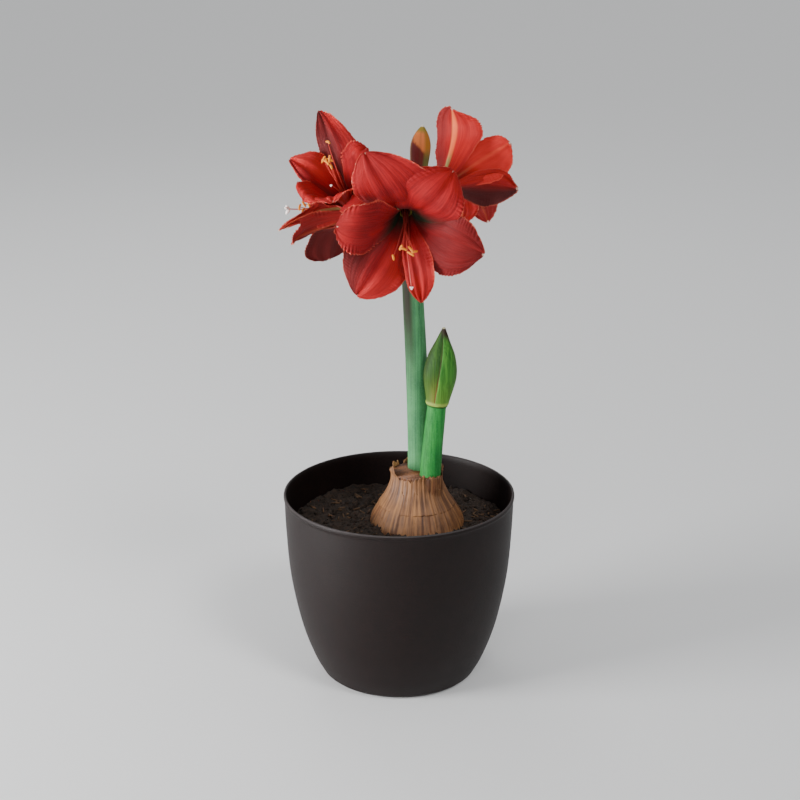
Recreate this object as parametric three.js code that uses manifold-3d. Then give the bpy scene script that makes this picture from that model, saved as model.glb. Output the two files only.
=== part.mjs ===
// A red amaryllis (Hippeastrum) in a round black plastic pot.
// One bulb sits half out of the potting soil. It carries a tall flower stem with an umbel of four open
// blooms and one young bud, and a short second stem whose bud is still shut in its sheath.
// Millimetres, +Z up. The origin is the centre of the pot's foot, on the surface it stands on.
// The front bloom faces -Y.

import * as THREE from "three";
import Module from "manifold-3d";
import { mergeVertices } from "three/addons/utils/BufferGeometryUtils.js";

const wasm = await Module();
wasm.setup();

const { degToRad, smoothstep, lerp } = THREE.MathUtils;
const V = (x, y, z) => new THREE.Vector3(x, y, z);

// ---- driving dimensions ----

const GAP = 0.35; // clearance wherever two pieces meet

const POT = {
  rim: 110, // radii
  foot: 67,
  side: [[75.5, 4], [84.5, 22], [95.5, 55], [104.7, 103], [108.3, 150], [109.2, 178.5]], // radius, height
  height: 183,
  bead: 3.6, // height of the bead round the rim
  edge: 0.6, // the bevel of its upper edge
  wall: 2.4,
  floor: 3.5,
  footEdge: 5, // width of the round between the foot and the side
  sides: 36,
};

const SOIL = { top: 150, mound: 6, lump: 1.4, rings: 4 };

// The bulb's outline from its base to the top of its neck: radius, height.
const BULB = {
  x: 17,
  side: [
    [16, 85], [24, 90], [37, 104], [44, 122], [46, 139], [44, 155],
    [37.5, 169], [29.5, 181], [24.6, 192], [23.2, 202], [24.2, 206],
  ],
  bottom: 84,
  top: 206,
  sides: 24,
};

const UMBEL = V(10.5, 8, 430); // where the flower stalks spring from the head of the main stem
const MAIN_STEM = {
  route: [V(19.2, 9, 190), V(19, 8.6, 230), V(16.2, 8.3, 310), V(12.9, 8, 375), UMBEL],
  footRadius: 10.9,
  topRadius: 9,
  headRadius: 11,
  sides: 12,
};
const SECOND_STEM = {
  route: [V(28.5, -11.4, 190), V(31.4, -10.4, 230), V(35.3, -9, 272.5)],
  footRadius: 10,
  topRadius: 8.6,
  sides: 12,
};
// The buds' radii are [share of the length from the foot, radius].
const SECOND_BUD = {
  tip: V(41, -10, 349),
  length: 76,
  radii: [[0, 9.8], [0.04, 10.4], [0.12, 11], [0.42, 15], [0.66, 12.6], [0.86, 5.8], [1, 0.8]],
  flat: 0.77, // depth over width
  sides: 16,
};
const YOUNG_BUD = {
  foot: V(17.5, 15, 478),
  middle: V(18.5, 17.5, 505),
  tip: V(21.5, 20, 530),
  radii: [[0, 3.4], [0.12, 5.6], [0.26, 7.8], [0.58, 9.4], [0.75, 8.2], [0.88, 5.2], [1, 0.8]],
  sides: 12,
};
const SHEATH_LEAF = { root: 418, halfWidth: 7.5, thick: 0.9, flare: 1.45 }; // flare of the stem at its root

const STALK = { radius: 3.2, sides: 6 }; // a bloom's own stalk
const OVARY = { length: 16, radius: 5, top: 4.6, sides: 8 };
const TUBE = { outer: 5.9, inner: 3.7, length: 7, sides: 12 }; // the ring in which a bloom's tepals join
const TEPAL = { thick: 1, edge: 0.65, claw: 3.2, clasp: 0.95, ruffle: 1.6, crease: 1.1 };
const STAMEN = { radius: 0.8, root: 2.1, antherLength: 7, antherRadius: 1.3, plug: 4 };
const STIGMA = { reach: 2.3, radius: 1.1 };

// The whorls' distance from the axis where the tepals leave the tube, and where the throat starts to open.
const WHORL = {
  inner: { root: 4.25, throat: [30, 8] },
  outer: { root: 5.35, throat: [28, 11] },
};

// Four blooms. base is the bottom of the tube. turn is the way the mouth faces, in degrees from -Y towards
// +X, and lift is degrees above the horizon. A tepal is:
//   at       degrees round the bloom, from its right, counter-clockwise as one looks into the mouth
//   tip      how far the tip lies along the bloom's axis, and how far out from it
//   bend     the same for the point that its back arches towards
//   half     half the greatest width
//   cup      curve across the blade, 1/mm: above 0 it is hollow, below 0 its edges roll back
//   sway     degrees that the tip leans sideways round the bloom
//   taper    low is a long point, high is a round end
//   skew     share by which the counter-clockwise half is wider and the other half narrower
//   twist    degrees that the blade turns about its own length
//   widest   where the blade is widest, as a share of its length
// Anthers and stigma are [right, up, out] from the base.
const TEPAL_SHAPE = { cup: 0, sway: 0, taper: 2.4, skew: 0, twist: 0, widest: 0.62 };
const FRONT = {
  name: "front",
  base: V(6, -40, 467),
  turn: -2,
  lift: -13,
  inner: [
    { at: 52, tip: [48, 73], bend: [84, 44], half: 33, cup: -0.006, sway: 3, skew: 0.2 },
    { at: 164, tip: [60, 59], bend: [80, 32], half: 25, cup: 0.004, sway: 4, taper: 4.2, skew: -0.12 },
    { at: 289, tip: [56, 65], bend: [72, 30], half: 13.3, cup: -0.004, sway: -6, taper: 2.6, skew: 0.28 },
  ],
  outer: [
    { at: 101, tip: [52, 84], bend: [80, 44], half: 33, cup: -0.006, sway: 12, taper: 2.6, skew: -0.15 },
    { at: 234, tip: [56, 71], bend: [70, 34], half: 30.5, cup: -0.012, skew: -0.1 },
    { at: 340, tip: [56, 71], bend: [72, 34], half: 30.5, cup: -0.002, sway: 7, taper: 2.2, skew: 0.15 },
  ],
  anthers: [[-2, -6, 63], [0, -7, 64], [6, -8, 62], [9, -12, 60], [-9, -18, 58], [6, -13, 61]],
  stigma: [7, -41, 70],
  steps: [8, 6],
};
const UPPER_LEFT = {
  name: "upper_left",
  base: V(-40, 2, 456),
  turn: -28,
  lift: 42,
  inner: [
    { at: 47, tip: [55, 41], bend: [76, 26], half: 18, cup: 0.006, sway: 8 },
    {
      at: 166, tip: [56, 49], bend: [76, 26], half: 19,
      cup: -0.02, sway: -2, taper: 1.2, skew: -0.2, widest: 0.5,
    },
    { at: 292, tip: [60, 30], bend: [73, 19], half: 19, cup: 0.004, sway: 6, taper: 2, skew: 0.1 },
  ],
  outer: [
    {
      at: 106, tip: [57, 76], bend: [74, 30], half: 20,
      cup: -0.03, sway: 14, taper: 1.6, skew: -0.25, widest: 0.5,
    },
    { at: 232, tip: [56, 32], bend: [76, 22], half: 18, cup: 0.01, sway: 4 },
    { at: 345, tip: [52, 50], bend: [74, 28], half: 24 },
  ],
  anthers: [[-5, 10, 70], [0, 6, 72], [4, 4, 69], [-2, 12, 66], [3, 9, 74], [-6, 26, 72]],
  stigma: [7, -11, 62],
  steps: [7, 6],
};
const LOWER_LEFT = {
  name: "lower_left",
  base: V(-20, 28, 453),
  turn: -92,
  lift: -4,
  inner: [
    {
      at: 22, tip: [90, 29], bend: [70, 23], half: 15,
      cup: 0.05, sway: -44, taper: 0.28, skew: -0.2, widest: 0.55,
    },
    { at: 120, tip: [64, 25], bend: [62, 20], half: 20, cup: 0.012 },
    { at: 248, tip: [50, 53], bend: [50, 26], half: 26, sway: 6, taper: 7, twist: 62 },
  ],
  outer: [
    {
      at: 312, tip: [79, 33], bend: [80, 20], half: 18,
      cup: 0.03, sway: -4, taper: 0.3, skew: 0.3, widest: 0.7,
    },
    { at: 205, tip: [66, 34], bend: [62, 24], half: 22, cup: 0.006 },
    { at: 80, tip: [64, 12], bend: [58, 17], half: 16, cup: 0.03, taper: 1.4, skew: 0.3 },
  ],
  anthers: [[12, 10, 66], [8, 2, 64], [11, 7, 70], [2, 3, 60], [13, 8, 61], [13, 4, 67]],
  stigma: [8, 5, 80],
  steps: [7, 4],
};
const RIGHT = {
  name: "right",
  base: V(38, 30, 470),
  turn: 158,
  lift: 7,
  inner: [
    { at: 345, tip: [56, 26], bend: [72, 22], half: 14, cup: 0.02 },
    { at: 150, tip: [48, 62], bend: [74, 32], half: 20, cup: -0.004, sway: -2, skew: 0.2 },
    { at: 244, tip: [50, 56], bend: [76, 26], half: 19, sway: -4, skew: -0.1 },
  ],
  outer: [
    { at: 79, tip: [48, 62], bend: [76, 32], half: 30, cup: 0.012, sway: 7, skew: 0.06, twist: -20 },
    { at: 196, tip: [48, 60], bend: [70, 34], half: 20, cup: -0.006, sway: -5, taper: 1.6, skew: 0.25 },
    { at: 270, tip: [50, 54], bend: [72, 28], half: 18 },
  ],
  anthers: [[-4, -8, 62], [1, -6, 65], [5, -9, 63], [8, -12, 60], [-7, -13, 59], [0, -12, 66]],
  stigma: [3, -22, 80],
  steps: [7, 6],
};
const BLOOMS = [FRONT, UPPER_LEFT, LOWER_LEFT, RIGHT];

// ---- colours and finishes ----

const finish = (color, roughness) => new THREE.MeshStandardMaterial({ color, roughness, metalness: 0 });
const BLACK_PLASTIC = finish(0x2a2627, 0.6);
const PEAT = finish(0x2e2119, 0.95);
const BULB_SKIN = finish(0x7a4f2b, 0.7);
const STEM_GREEN = finish(0x5f9a5c, 0.5);
const SHEATH_GREEN = finish(0x6d8f3a, 0.5);
const TEPAL_RED = finish(0xc4161a, 0.55);
const STAMEN_RED = finish(0xd0442c, 0.5);
const BUD_RED = finish(0x9a3a22, 0.5);
const WITHERED_BROWN = finish(0xa08a5c, 0.8);

// ---- from three.js shapes to closed solids and back ----

// A closed skin over rings that hold the same number of points, counter-clockwise seen from the last ring.
// Faces that start at a point from flipFrom onwards are split along their other diagonal.
function skin(rings, flipFrom = Infinity) {
  const sides = rings[0].length;
  const index = [];
  for (let i = 0; i < rings.length - 1; i++) {
    for (let j = 0; j < sides; j++) {
      const k = (j + 1) % sides;
      const [a, b, c, d] = [i * sides + j, i * sides + k, (i + 1) * sides + k, (i + 1) * sides + j];
      if (j >= flipFrom) index.push(a, b, d, b, c, d);
      else index.push(a, b, c, a, c, d);
    }
  }
  const last = (rings.length - 1) * sides;
  let [low, high] = [0, sides - 1];
  for (let fromLow = true; high - low > 1; fromLow = !fromLow) {
    const [a, b, c] = fromLow ? [low, low + 1, high] : [low, high - 1, high];
    index.push(a, c, b, last + a, last + b, last + c);
    if (fromLow) low += 1;
    else high -= 1;
  }
  const geometry = new THREE.BufferGeometry();
  const positions = rings.flat().flatMap((p) => [p.x, p.y, p.z]);
  geometry.setAttribute("position", new THREE.Float32BufferAttribute(positions, 3));
  geometry.setIndex(index);
  return geometry;
}

function solid(geometry) {
  const bare = geometry.clone();
  bare.deleteAttribute("normal");
  bare.deleteAttribute("uv");
  const merged = mergeVertices(bare, 1e-4);
  const corners = merged.index.array;
  const kept = [];
  for (let i = 0; i < corners.length; i += 3) {
    const [a, b, c] = [corners[i], corners[i + 1], corners[i + 2]];
    if (a !== b && b !== c && c !== a) kept.push(a, b, c);
  }
  const vertProperties = new Float32Array(merged.attributes.position.array);
  return new wasm.Manifold(new wasm.Mesh({ numProp: 3, vertProperties, triVerts: new Uint32Array(kept) }));
}

// The solids joined as one body. Loose scraps and sealed hollows are dropped.
function fused(...solids) {
  const whole = solids.reduce((sum, next) => sum.add(next));
  return whole.decompose().reduce((largest, next) => (next.volume() > largest.volume() ? next : largest));
}

function piece(name, body, material) {
  const { numProp, numVert, vertProperties, triVerts } = body.getMesh();
  const positions = new Float32Array(numVert * 3);
  for (let i = 0; i < numVert; i++) {
    positions.set(vertProperties.subarray(i * numProp, i * numProp + 3), i * 3);
  }
  const geometry = new THREE.BufferGeometry();
  geometry.setAttribute("position", new THREE.BufferAttribute(positions, 3));
  geometry.setIndex(new THREE.BufferAttribute(triVerts, 1));
  geometry.computeVertexNormals();
  const mesh = new THREE.Mesh(geometry, material);
  mesh.name = name;
  return mesh;
}

// A body of revolution about +Z. The profile is a list of [radius, height] from the axis back to the axis.
function turned(profile, sides) {
  const points = profile.map(([r, z]) => new THREE.Vector2(r, z));
  return solid(new THREE.LatheGeometry(points, sides).rotateX(Math.PI / 2));
}

// A round stalk along a curve. radius(t) is its radius, with t from 0 to 1 along the curve.
function stalk(curve, radius, sides, steps) {
  const { normals, binormals } = curve.computeFrenetFrames(steps, false);
  const rings = [];
  for (let i = 0; i <= steps; i++) {
    const centre = curve.getPointAt(i / steps);
    const r = radius(i / steps);
    const ring = Array.from({ length: sides }, (_, j) => {
      const angle = (j / sides) * 2 * Math.PI;
      return centre
        .clone()
        .addScaledVector(normals[i], Math.cos(angle) * r)
        .addScaledVector(binormals[i], Math.sin(angle) * r);
    });
    rings.push(ring);
  }
  return solid(skin(rings));
}

// A smooth radius along a stalk, through points of [t, radius].
function swelling(points) {
  const curve = new THREE.SplineCurve(points.map(([t, r]) => new THREE.Vector2(t, r)));
  return (t) => curve.getPoint(t).y;
}

// ---- pot: thin, bowl-sided, with a narrow bead at its rim ----

const POT_SIDE = new THREE.SplineCurve(POT.side.map(([r, z]) => new THREE.Vector2(r, z)));
const POT_INSIDE = POT_SIDE.getPoints(5).map((p) => [p.x - POT.wall, p.y]);

function potWall() {
  const outside = POT_SIDE.getPoints(7).map((p) => [p.x, p.y]);
  const profile = [
    [0, 0],
    [POT.foot, 0],
    [POT.foot + POT.footEdge, POT.footEdge / 4],
    ...outside,
    [POT.rim, POT.height - POT.bead],
    [POT.rim, POT.height - POT.edge],
    [POT.rim - POT.edge, POT.height],
    [POT.rim - POT.wall, POT.height],
    ...POT_INSIDE.toReversed(),
    [POT.foot + 2, POT.floor],
    [0, POT.floor],
  ];
  return turned(profile, POT.sides);
}

// ---- soil: fills the pot to below its rim, with a lumpy top that rises a little towards the bulb ----

function soilTop(x, y, share) {
  const wave = Math.sin(x * 0.21 + 1.3) * Math.cos(y * 0.17) + Math.sin(x * 0.09 - y * 0.13);
  return SOIL.top + SOIL.mound * (1 - share) ** 2 + SOIL.lump * wave;
}

function soilBody() {
  const ring = (r, height) => Array.from({ length: POT.sides }, (_, j) => {
    const angle = (j / POT.sides) * 2 * Math.PI;
    const [x, y] = [r * Math.sin(angle), -r * Math.cos(angle)];
    return V(x, y, height(x, y));
  });
  const side = POT_INSIDE
    .map(([r, z]) => [r - GAP * 1.5, z])
    .filter(([, z]) => z > POT.floor + 2 && z < SOIL.top - SOIL.lump * 3);
  const edge = side.at(-1)[0] - 1;
  const rings = [ring(POT.foot, () => POT.floor + GAP)];
  for (const [r, z] of side) rings.push(ring(r, () => z));
  for (let k = 0; k <= SOIL.rings; k++) {
    const share = 1 - k / (SOIL.rings + 1);
    rings.push(ring(edge * share, (x, y) => soilTop(x, y, share)));
  }
  return fused(solid(skin(rings)).subtract(bulbShape(GAP)));
}

// ---- bulb: onion-shaped, with a broad neck that holds both stems in sockets ----

function bulbShape(grow) {
  const side = BULB.side.map(([r, z]) => [r + grow, z]);
  const [base, neck] = [side[0][0], side.at(-1)[0]];
  const profile = [[0, BULB.bottom - grow], [base, BULB.bottom + 1 - grow], ...side];
  profile.push([neck, BULB.top + grow], [0, BULB.top + grow]);
  return turned(profile, BULB.sides).translate([BULB.x, 0, 0]);
}

function bulb() {
  return fused(bulbShape(0).subtract(stem(MAIN_STEM, GAP)).subtract(stem(SECOND_STEM, GAP)));
}

// ---- stems ----

function stem({ route, footRadius, topRadius, sides }, grow = 0) {
  const path = new THREE.CatmullRomCurve3(route);
  return stalk(path, (t) => lerp(footRadius, topRadius, t) + grow, sides, route.length + 1);
}

// The main stem, the knob at its head, a stalk and an ovary for each bloom, and the young bud's stalk.
function flowerStem() {
  const { headRadius, sides } = MAIN_STEM;
  const head = new THREE.SphereGeometry(headRadius, sides, 6).rotateX(Math.PI / 2).scale(1, 1, 0.75);
  const parts = [stem(MAIN_STEM), solid(head.translate(...UMBEL.toArray()))];
  for (const bloom of BLOOMS) {
    const { base, out } = bloomFrame(bloom);
    const along = (mm) => base.clone().addScaledVector(out, mm);
    const neck = along(-OVARY.length);
    const leave = UMBEL.clone().lerp(neck, 0.25).setZ(lerp(UMBEL.z, neck.z, 0.2) + 12);
    const path = new THREE.CubicBezierCurve3(UMBEL, leave, along(-OVARY.length - 10), neck);
    parts.push(stalk(path, () => STALK.radius, STALK.sides, 5));
    const ovary = new THREE.LineCurve3(along(-OVARY.length - 1), along(-GAP));
    const swell = (OVARY.radius - STALK.radius) * 1.1;
    const radius = (t) => lerp(STALK.radius - 0.2, OVARY.top, t) + swell * Math.sin(Math.PI * t);
    parts.push(stalk(ovary, radius, OVARY.sides, 4));
  }
  const leave = UMBEL.clone().lerp(YOUNG_BUD.foot, 0.35);
  const arrive = UMBEL.clone().lerp(YOUNG_BUD.foot, 0.7).add(V(1, 1, 0));
  const path = new THREE.CubicBezierCurve3(UMBEL, leave, arrive, YOUNG_BUD.foot);
  parts.push(stalk(path, () => STALK.radius, STALK.sides, 4));
  return fused(...parts);
}

// ---- blooms: six tepals in two whorls, joined at their claws in a short tube ----

function bloomFrame({ base, turn, lift }) {
  const [a, e] = [degToRad(turn), degToRad(lift)];
  const out = V(Math.sin(a) * Math.cos(e), -Math.cos(a) * Math.cos(e), Math.sin(e));
  const up = V(0, 0, 1).addScaledVector(out, -out.z).normalize();
  return { base, out, up, right: up.clone().cross(out) };
}

function tepalSpine({ root, throat }, { bend, tip }) {
  const points = [[0, root], throat, bend, tip].map(([along, away]) => new THREE.Vector2(along, away));
  return new THREE.CubicBezierCurve(...points);
}

// Half the width at t along the spine, where the spine is r from the axis.
function tepalHalfWidth({ half, taper, widest }, t, r) {
  const { clasp, claw } = TEPAL;
  if (t < widest) return Math.min(lerp(claw, half, smoothstep(t, 0, widest)), clasp * r);
  return half * (1 - ((t - widest) / (1 - widest)) ** taper) ** 0.75;
}

// A point on the middle surface: t from 0 at the tube to 1 at the tip, s from -1 to 1 across.
function tepalPoint(frame, tepal, spine, t, s) {
  const middle = spine.getPoint(t);
  const along = spine.getTangent(t);
  const angle = degToRad(tepal.at + tepal.sway * t * t);
  const [cos, sin] = [Math.cos(angle), Math.sin(angle)];
  const away = frame.right.clone().multiplyScalar(cos).addScaledVector(frame.up, sin);
  const sideways = frame.up.clone().multiplyScalar(cos).addScaledVector(frame.right, -sin);
  const inwards = frame.out.clone().multiplyScalar(along.y).addScaledVector(away, -along.x);
  const spineWay = sideways.clone().cross(inwards);
  const turned = degToRad(tepal.twist) * smoothstep(t, 0.2, 0.7);
  sideways.applyAxisAngle(spineWay, turned);
  inwards.applyAxisAngle(spineWay, turned);
  const across = s * (1 + tepal.skew * s) * tepalHalfWidth(tepal, t, middle.y);
  const curve = lerp(1 / middle.y, tepal.cup, smoothstep(t, 0.15, 0.55)) + 1e-6;
  const margin = Math.abs(s) ** 2.5 * smoothstep(t, 0.3, 0.7);
  const wave = TEPAL.ruffle * margin * Math.sin(t * 17 + tepal.at + (s > 0 ? 2 : 0));
  const crease = TEPAL.crease * Math.max(0, 1 - Math.abs(s) * 4) * smoothstep(t, 0.1, 0.4);
  return frame.base
    .clone()
    .addScaledVector(frame.out, middle.x)
    .addScaledVector(away, middle.y)
    .addScaledVector(sideways, Math.sin(curve * across) / curve)
    .addScaledVector(inwards, (1 - Math.cos(curve * across)) / curve + wave - crease);
}

function tepalBlade(frame, whorl, shape, [stepsAlong, stepsAcross]) {
  const tepal = { ...TEPAL_SHAPE, ...shape };
  const spine = tepalSpine(whorl, tepal);
  const blunt = 0.985; // the blade stops just short of the point
  const at = (t, s) => tepalPoint(frame, tepal, spine, t, s);
  const rings = [];
  for (let i = 0; i <= stepsAlong; i++) {
    const t = (i / stepsAlong) * blunt;
    const outside = [];
    const inside = [];
    for (let j = 0; j <= stepsAcross; j++) {
      const s = (j / stepsAcross) * 2 - 1;
      const alongStep = at(t + 0.01, s).sub(at(Math.max(t - 0.01, 0), s));
      const acrossStep = at(t, Math.min(s + 0.05, 1)).sub(at(t, Math.max(s - 0.05, -1)));
      const normal = acrossStep.cross(alongStep).normalize();
      const half = (TEPAL.thick / 2) * (Math.abs(s) === 1 ? TEPAL.edge : 1);
      outside.push(at(t, s).addScaledVector(normal, half));
      inside.unshift(at(t, s).addScaledVector(normal, -half));
    }
    rings.push([...outside, ...inside]);
  }
  return solid(skin(rings, stepsAcross + 1));
}

// A body made along +Z from the origin, set at the base of a bloom with +Z along the bloom's axis.
function setOnBloom(body, { base, out, up, right }) {
  return body.transform(new THREE.Matrix4().makeBasis(right, up, out).setPosition(base).elements);
}

function tepals(bloom) {
  const frame = bloomFrame(bloom);
  const { inner, outer, length, sides } = TUBE;
  const ring = turned([[inner, 0], [outer, 0], [outer, length], [inner, length], [inner, 0]], sides);
  const blades = ["inner", "outer"].flatMap((whorl) => {
    return bloom[whorl].map((tepal) => tepalBlade(frame, WHORL[whorl], tepal, bloom.steps));
  });
  return fused(setOnBloom(ring, frame), ...blades);
}

// ---- stamens: six filaments with anthers, and the style with a three-lobed stigma, all rising from one
// small disc that plugs the bottom of the tube ----

// A thread that leaves the tube straight and then turns to its tip.
function thread(foot, tip, reach, sag) {
  const leave = V(foot.x * 1.6, foot.y * 1.6, 26);
  return new THREE.CubicBezierCurve3(foot, leave, V(tip.x * reach, tip.y * reach - sag, tip.z * 0.8), tip);
}

function stamens(bloom) {
  const { radius, root, antherLength, antherRadius, plug } = STAMEN;
  const plugRadius = TUBE.inner - GAP;
  const parts = [turned([[0, 0], [plugRadius, 0], [plugRadius, plug], [0, plug]], 8)];
  bloom.anthers.forEach((end, i) => {
    const angle = degToRad(30 + i * 60);
    const tip = V(...end);
    const foot = V(root * Math.cos(angle), root * Math.sin(angle), plug / 2);
    parts.push(stalk(thread(foot, tip, 0.9, 5), () => radius, 3, 4));
    const lie = V(Math.cos(angle * 2.3), Math.sin(angle * 1.7), 0.3).setLength(antherLength / 2);
    const anther = new THREE.LineCurve3(tip.clone().sub(lie), tip.clone().add(lie));
    parts.push(stalk(anther, (t) => antherRadius * (0.55 + 1.8 * t * (1 - t)), 4, 2));
  });
  const tip = V(...bloom.stigma);
  parts.push(stalk(thread(V(0, 0, plug / 2), tip, 0.4, 0), () => radius, 4, 5));
  for (const turn of [30, 150, 270]) {
    const lobe = V(Math.cos(degToRad(turn)), Math.sin(degToRad(turn)), 0.8).setLength(STIGMA.reach).add(tip);
    parts.push(stalk(new THREE.LineCurve3(tip, lobe), (t) => lerp(radius, STIGMA.radius, t), 4, 1));
  }
  return setOnBloom(fused(...parts), bloomFrame(bloom));
}

// ---- buds ----

// The umbel's last bud: a plump spindle with a blunt point.
function youngBud() {
  const { foot, middle, tip, sides } = YOUNG_BUD;
  const seat = foot.clone().lerp(middle, GAP / foot.distanceTo(middle));
  const radius = swelling(YOUNG_BUD.radii);
  return stalk(new THREE.QuadraticBezierCurve3(seat, middle, tip), radius, sides, 9);
}

// The second stem's bud, shut in two overlapping sheath leaves: flattened, with a beak at its tip.
function secondBud() {
  const { tip, length, flat, sides } = SECOND_BUD;
  const lean = new THREE.CatmullRomCurve3(SECOND_STEM.route).getTangentAt(1);
  const seat = SECOND_STEM.route.at(-1).clone().addScaledVector(lean, GAP);
  const path = new THREE.QuadraticBezierCurve3(seat, seat.clone().addScaledVector(lean, length * 0.42), tip);
  const radius = swelling(SECOND_BUD.radii);
  const steps = 10;
  const rings = [];
  for (let i = 0; i <= steps; i++) {
    const t = i / steps;
    const along = path.getTangentAt(t);
    const right = V(1, 0, 0).addScaledVector(along, -along.x).normalize();
    const back = along.clone().cross(right);
    const wide = radius(t);
    const deep = wide * lerp(1, flat, smoothstep(t, 0, 0.3));
    const ring = Array.from({ length: sides }, (_, j) => {
      const angle = (j / sides) * 2 * Math.PI;
      return path
        .getPointAt(t)
        .addScaledVector(right, Math.cos(angle) * wide)
        .addScaledVector(back, Math.sin(angle) * deep);
    });
    rings.push(ring);
  }
  return solid(skin(rings));
}

// ---- sheath leaves: two withered ones hang from the head of the main stem ----

function sheathLeaf(facing, length) {
  const { root, halfWidth, thick, flare } = SHEATH_LEAF;
  const a = degToRad(facing);
  const out = V(Math.sin(a), -Math.cos(a), 0);
  const side = V(Math.cos(a), Math.sin(a), 0);
  const seat = MAIN_STEM.topRadius + GAP + flare;
  const route = [[seat, root], [seat + 6.5, root + 8], [seat + 9.5, root + 2], [seat + 6.5, root - length]];
  const path = new THREE.CubicBezierCurve(...route.map(([away, z]) => new THREE.Vector2(away, z)));
  const [stepsAlong, stepsAcross] = [7, 4];
  const rings = [];
  for (let i = 0; i <= stepsAlong; i++) {
    const t = i / stepsAlong;
    const middle = path.getPoint(t);
    const along = path.getTangent(t);
    const half = halfWidth * (1 - t ** 2.5) + 0.7;
    const through = out.clone().multiplyScalar(along.y).setZ(-along.x).multiplyScalar(thick / 2);
    const outside = [];
    const inside = [];
    for (let j = 0; j <= stepsAcross; j++) {
      const s = (j / stepsAcross) * 2 - 1;
      const curl = 0.06 * (s * half) ** 2 - 0.8 * Math.sin(6 * t + 3 * s);
      const point = UMBEL.clone().setZ(middle.y);
      point.addScaledVector(out, middle.x - curl).addScaledVector(side, s * half);
      outside.push(point.clone().add(through));
      inside.unshift(point.clone().sub(through));
    }
    rings.push([...outside, ...inside]);
  }
  return solid(skin(rings, stepsAcross + 1));
}

// ---- the plant in its pot ----

const group = new THREE.Group();
group.add(
  piece("pot", potWall(), BLACK_PLASTIC),
  piece("soil", soilBody(), PEAT),
  piece("bulb", bulb(), BULB_SKIN),
  piece("flower_stem", flowerStem(), STEM_GREEN),
  ...BLOOMS.flatMap((bloom) => [
    piece(`bloom_${bloom.name}`, tepals(bloom), TEPAL_RED),
    piece(`stamens_${bloom.name}`, stamens(bloom), STAMEN_RED),
  ]),
  piece("young_bud", youngBud(), BUD_RED),
  piece("spathe_leaf_left", sheathLeaf(245, 34), WITHERED_BROWN),
  piece("spathe_leaf_right", sheathLeaf(115, 30), WITHERED_BROWN),
  piece("second_stem", stem(SECOND_STEM), STEM_GREEN),
  piece("second_bud", secondBud(), SHEATH_GREEN),
);

export default group;
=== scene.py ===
"""A red amaryllis in a round black plastic pot, with one umbel in bloom and a second bud still shut.

Sizes are in millimetres and become metres where a mesh is made. +Z is up, and the front bloom faces -Y.
"""

import math
from dataclasses import dataclass

import bpy
import numpy as np
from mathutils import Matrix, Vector, noise


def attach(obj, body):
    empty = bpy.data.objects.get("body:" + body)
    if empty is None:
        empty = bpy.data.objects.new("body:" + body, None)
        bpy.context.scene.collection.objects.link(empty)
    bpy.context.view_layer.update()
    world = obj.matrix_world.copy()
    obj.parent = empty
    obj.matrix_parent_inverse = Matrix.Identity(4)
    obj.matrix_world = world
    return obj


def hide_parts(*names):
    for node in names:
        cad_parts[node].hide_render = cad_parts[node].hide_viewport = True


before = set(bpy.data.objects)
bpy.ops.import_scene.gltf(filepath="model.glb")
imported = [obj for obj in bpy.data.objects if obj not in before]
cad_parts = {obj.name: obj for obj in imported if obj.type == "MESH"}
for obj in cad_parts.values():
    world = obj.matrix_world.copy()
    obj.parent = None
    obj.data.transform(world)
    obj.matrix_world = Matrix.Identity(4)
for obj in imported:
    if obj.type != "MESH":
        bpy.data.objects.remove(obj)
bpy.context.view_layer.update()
scene = bpy.context.scene

# ---- camera ----
# A long lens, a little above the plant, looking down so that the soil shows over the pot's rim. Its
# distance and target are in millimetres.

CAMERA_DISTANCE = 1650
CAMERA_ELEVATION = math.radians(19.01)
CAMERA_TARGET = Vector((0.95, 0, 275))

towards_camera = Vector((0, -math.cos(CAMERA_ELEVATION), math.sin(CAMERA_ELEVATION)))
camera = bpy.data.objects.new("camera", bpy.data.cameras.new("camera"))
scene.collection.objects.link(camera)
scene.camera = camera
camera.data.sensor_width = 36
camera.data.lens = 79.2
camera.data.clip_start = 0.05
camera.data.clip_end = 60
camera.location = (CAMERA_TARGET + towards_camera * CAMERA_DISTANCE) / 1000
camera.rotation_mode = "QUATERNION"
camera.rotation_quaternion = towards_camera.to_track_quat("Z", "Y")

# ---- studio ----
# A plain pale floor and even light from all round. The key light is high on the right, and a soft one in
# front opens the shadows in the blooms. A low one on the left runs along the side of the pot, and a weak one
# behind lifts the far edges. Places are in metres.

SQUARE = ((-1, -1), (1, -1), (1, 1), (-1, 1))
FLOOR_HALF = 20

floor_mesh = bpy.data.meshes.new("floor")
floor_mesh.from_pydata([(x * FLOOR_HALF, y * FLOOR_HALF, 0) for x, y in SQUARE], [], [(0, 1, 2, 3)])
floor = bpy.data.objects.new("floor", floor_mesh)
scene.collection.objects.link(floor)
floor_paint = bpy.data.materials.new("floor_pale")
floor_paint.use_nodes = True
floor_shader = floor_paint.node_tree.nodes["Principled BSDF"]
floor_shader.inputs["Base Color"].default_value = (0.9, 0.9, 0.9, 1)
floor_shader.inputs["Roughness"].default_value = 0.9
floor_mesh.materials.append(floor_paint)

world = bpy.data.worlds.new("studio")
scene.world = world
world.use_nodes = True
sky = world.node_tree.nodes["Background"]
sky.inputs["Color"].default_value = (0.96, 0.98, 1, 1)
sky.inputs["Strength"].default_value = 0.4

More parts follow.
